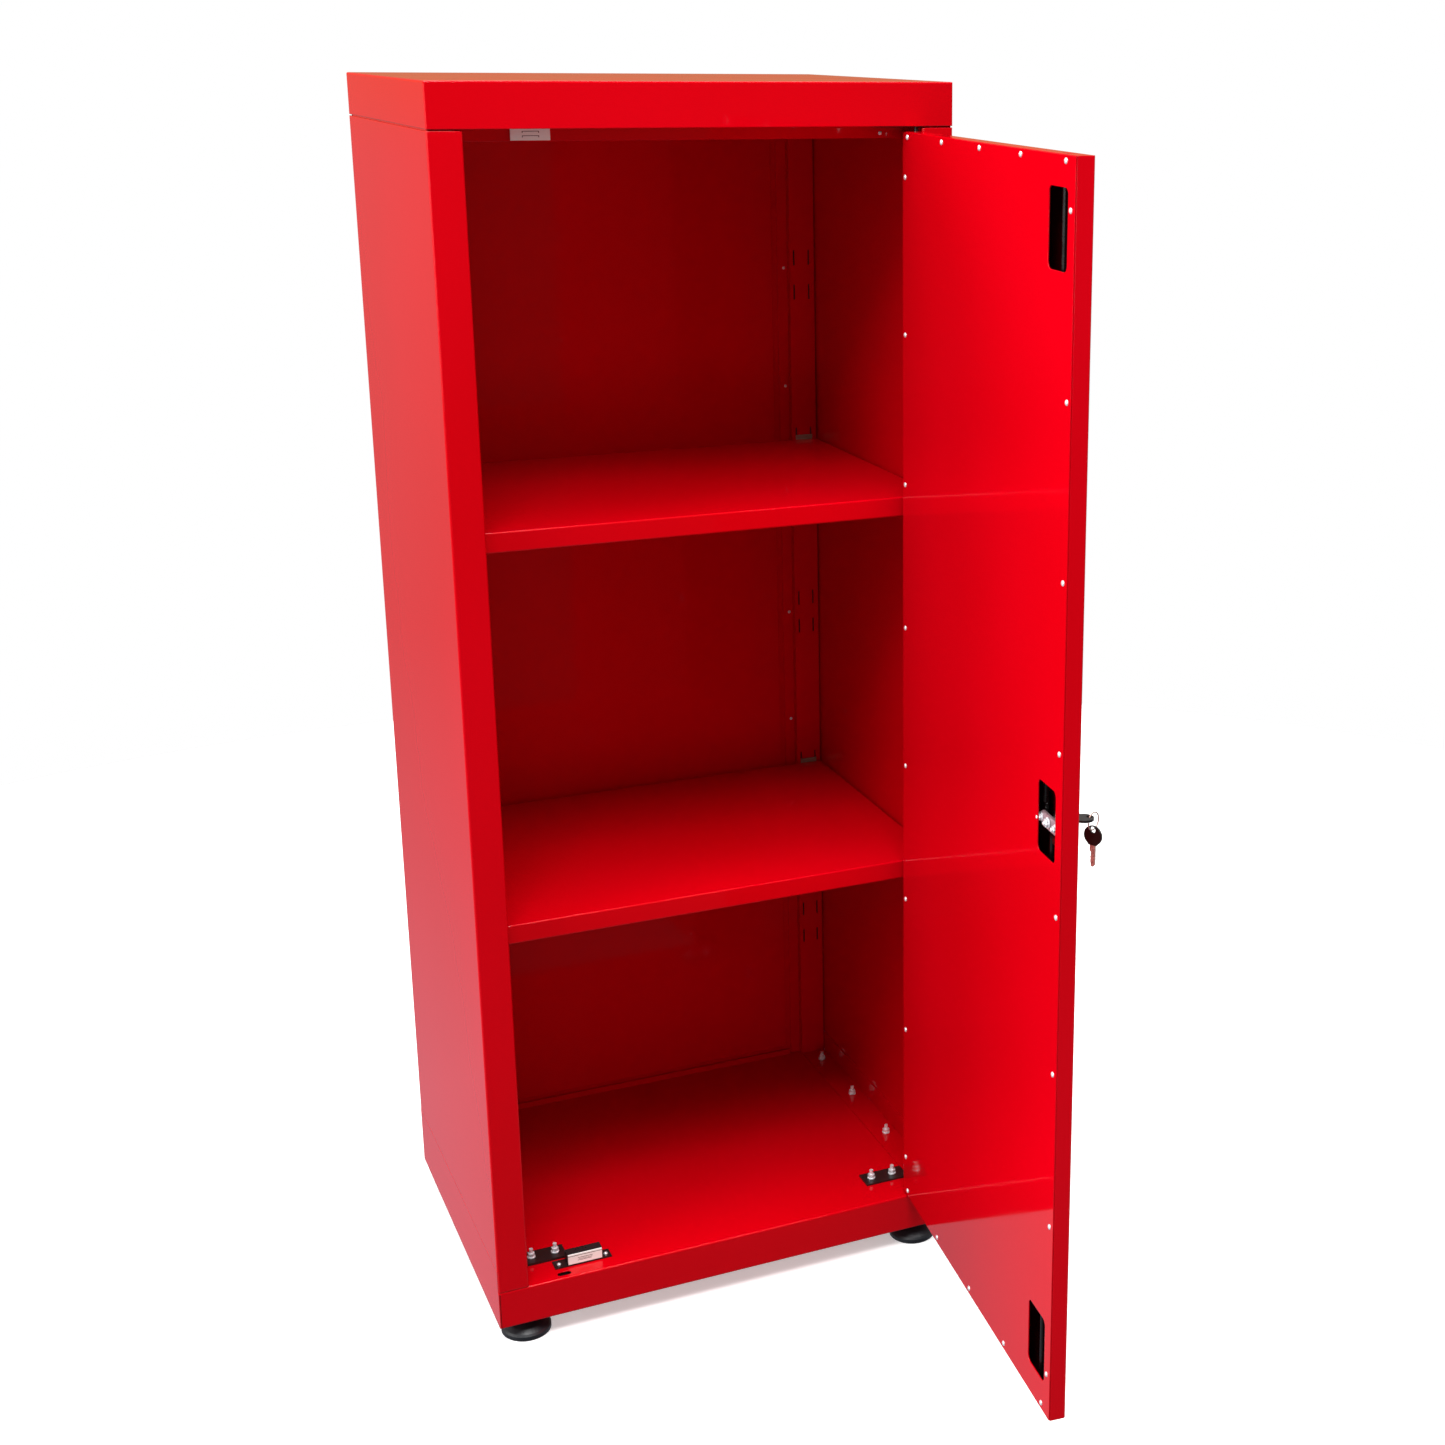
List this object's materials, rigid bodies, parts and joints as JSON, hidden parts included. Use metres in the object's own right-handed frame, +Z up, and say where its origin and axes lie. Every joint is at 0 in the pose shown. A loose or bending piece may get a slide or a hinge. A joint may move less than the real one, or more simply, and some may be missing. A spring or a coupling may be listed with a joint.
{
  "type": "flammable storage cabinet",
  "caption": "Tall folded-steel safety cabinet with a key-locked inset door on pivots, lift-out shelves and levelling feet, shown with the door open.",
  "frame": {"origin": "on the floor, at the middle of the footprint with the door open as stored", "axes": "+X to the right seen from the front, +Y from the front to the back, +Z up"},
  "size_m": [0.6, 0.9648, 1.5],
  "materials": {
    "red_powder_coat": "gloss powder coat on folded sheet steel",
    "black_plate": "black painted steel",
    "catch_housing": "black moulded plastic",
    "catch_face": "pale moulded plastic",
    "foot_plastic": "satin black plastic",
    "zinc_steel": "bright zinc plated",
    "clip_steel": "plain zinc plated sheet",
    "lock_chrome": "bright plated",
    "cam_steel": "zinc plated sheet",
    "key_steel": "nickel plated",
    "key_plastic": "black moulded plastic"
  },
  "bodies": {
    "cabinet": {"back_panel": "red_powder_coat", "base_tray": "red_powder_coat", "catch_base_bottom": "black_plate", "catch_face_bottom": "catch_face", "catch_face_top": "catch_face", "catch_housing_bottom": "catch_housing", "corner_plate_left": "black_plate", "deck_bolt_left_1": "zinc_steel", "deck_bolt_left_2": "zinc_steel", "deck_bolt_left_3": "zinc_steel", "deck_bolt_right_1": "zinc_steel", "deck_bolt_right_2": "zinc_steel", "deck_bolt_right_3": "zinc_steel", "header_rail": "red_powder_coat", "hinge_plate_bottom": "black_plate", "hinge_plate_top": "black_plate", "plate_bolt_left_1": "zinc_steel", "plate_bolt_left_2": "zinc_steel", "plate_bolt_right_1": "zinc_steel", "plate_bolt_right_2": "zinc_steel", "shelf_clip_lower_front_left": "clip_steel", "shelf_clip_lower_front_right": "clip_steel", "shelf_clip_lower_rear_left": "clip_steel", "shelf_clip_lower_rear_right": "clip_steel", "shelf_clip_upper_front_left": "clip_steel", "shelf_clip_upper_front_right": "clip_steel", "shelf_clip_upper_rear_left": "clip_steel", "shelf_clip_upper_rear_right": "clip_steel", "shelf_upright_left": "red_powder_coat", "shelf_upright_right": "red_powder_coat", "side_panel_left": "red_powder_coat", "side_panel_right": "red_powder_coat", "top_cap": "red_powder_coat"},
    "door": {"door_outer": "red_powder_coat", "door_liner": "red_powder_coat", "pivot_pin_bottom": "black_plate", "pivot_pin_top": "black_plate", "lock_barrel": "lock_chrome", "lock_nut": "lock_chrome", "rod_guide_upper": "black_plate", "rod_guide_lower": "black_plate"},
    "lock_core": {"lock_plug": "lock_chrome", "lock_cam": "cam_steel"},
    "rod_upper": {"lock_rod_upper": "black_plate"},
    "rod_lower": {"lock_rod_lower": "black_plate"},
    "key": {"key_bow": "key_plastic", "key_blade": "key_steel"},
    "ring": {"key_ring": "key_steel"},
    "spare_key": {"spare_key_bow": "key_plastic", "spare_key_blade": "key_steel"},
    "upper_shelf": {"shelf_upper": "red_powder_coat"},
    "lower_shelf": {"shelf_lower": "red_powder_coat"},
    "foot_front_left": {"foot_pad_front_left": "foot_plastic", "foot_stem_front_left": "zinc_steel"},
    "foot_front_right": {"foot_pad_front_right": "foot_plastic", "foot_stem_front_right": "zinc_steel"},
    "foot_rear_left": {"foot_pad_rear_left": "foot_plastic", "foot_stem_rear_left": "zinc_steel"},
    "foot_rear_right": {"foot_pad_rear_right": "foot_plastic", "foot_stem_rear_right": "zinc_steel"}
  },
  "joints": [
    {"name": "door_swing", "type": "hinge", "parent": "cabinet", "child": "door", "pos_m": [0.2565, 0.038, 0.76], "axis": [0, 0, 1], "range_deg": [-84.4, 10]},
    {"name": "lock_turn", "type": "hinge", "parent": "door", "child": "lock_core", "pos_m": [0.21576, -0.42875, 0.768], "axis": [0.9952, -0.0976, 0], "range_deg": [0, 90]},
    {"name": "rod_upper_slide", "type": "slide", "parent": "door", "child": "rod_upper", "axis": [0, 0, 1], "range_m": [0, 0.02]},
    {"name": "rod_lower_slide", "type": "slide", "parent": "door", "child": "rod_lower", "axis": [0, 0, -1], "range_m": [0, 0.02]},
    {"name": "key_withdraw", "type": "slide", "parent": "lock_core", "child": "key", "axis": [0.9952, -0.0976, 0], "range_m": [0, 0.022]},
    {"name": "ring_swing", "type": "hinge", "parent": "key", "child": "ring", "pos_m": [0.24721, -0.43184, 0.768], "axis": [-0.4602, 0.8878, 0], "range_deg": [-6, 6]},
    {"name": "spare_key_swing", "type": "hinge", "parent": "ring", "child": "spare_key", "pos_m": [0.25392, -0.42835, 0.75249], "axis": [0.8878, 0.4602, 0], "range_deg": [-60, 60]},
    {"name": "upper_shelf_lift", "type": "slide", "parent": "cabinet", "child": "upper_shelf", "axis": [0, 0, 1], "range_m": [0, 0.03]},
    {"name": "lower_shelf_lift", "type": "slide", "parent": "cabinet", "child": "lower_shelf", "axis": [0, 0, 1], "range_m": [0, 0.03]},
    {"name": "foot_front_left_screw", "type": "slide", "parent": "cabinet", "child": "foot_front_left", "axis": [0, 0, 1], "range_m": [-0.012, 0.003]},
    {"name": "foot_front_right_screw", "type": "slide", "parent": "cabinet", "child": "foot_front_right", "axis": [0, 0, 1], "range_m": [-0.012, 0.003]},
    {"name": "foot_rear_left_screw", "type": "slide", "parent": "cabinet", "child": "foot_rear_left", "axis": [0, 0, 1], "range_m": [-0.012, 0.003]},
    {"name": "foot_rear_right_screw", "type": "slide", "parent": "cabinet", "child": "foot_rear_right", "axis": [0, 0, 1], "range_m": [-0.012, 0.003]}
  ],
  "couplings": [
    {"joint": "lock_turn", "follows": "rod_upper_slide", "rad_per_m": 78.54},
    {"joint": "rod_lower_slide", "follows": "rod_upper_slide", "ratio": 1}
  ]
}
